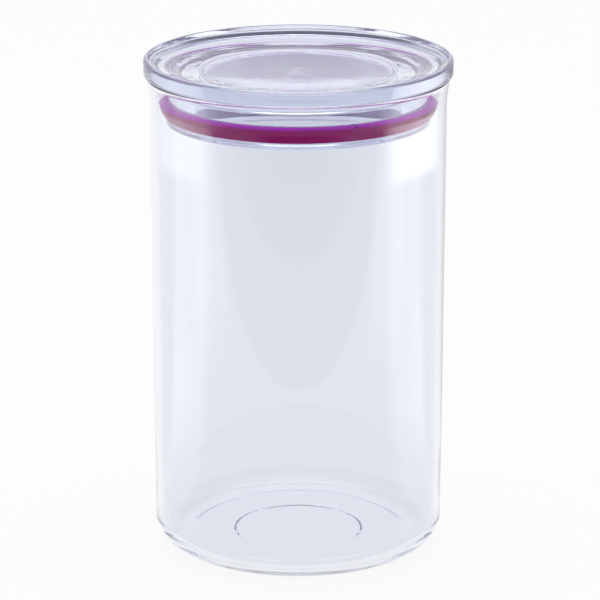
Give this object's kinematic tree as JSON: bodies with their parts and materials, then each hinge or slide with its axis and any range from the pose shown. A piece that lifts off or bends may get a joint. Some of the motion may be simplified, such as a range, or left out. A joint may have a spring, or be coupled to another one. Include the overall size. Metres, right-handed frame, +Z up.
{
  "type": "storage jar",
  "caption": "Clear glass storage jar with a flared lip and a clear lift-off lid whose skirt carries a purple silicone seal.",
  "frame": {"origin": "centre of the base, on the surface that the jar stands on", "axes": "+Z up along the jar's axis; the shape is the same all round, so +X and +Y are any two horizontal directions"},
  "size_m": [0.1042, 0.1042, 0.17],
  "materials": {
    "glass": "clear, smooth, with a faint blue-grey tint",
    "lid_plastic": "clear moulded plastic, polished",
    "seal_silicone": "purple silicone, satin"
  },
  "bodies": {
    "jar": {"jar_body": "glass"},
    "lid": {"lid": "lid_plastic", "seal_ring": "seal_silicone"}
  },
  "joints": [
    {"name": "lid_lift", "type": "slide", "parent": "jar", "child": "lid", "axis": [0, 0, 1], "range_m": [0, 0.06]}
  ]
}
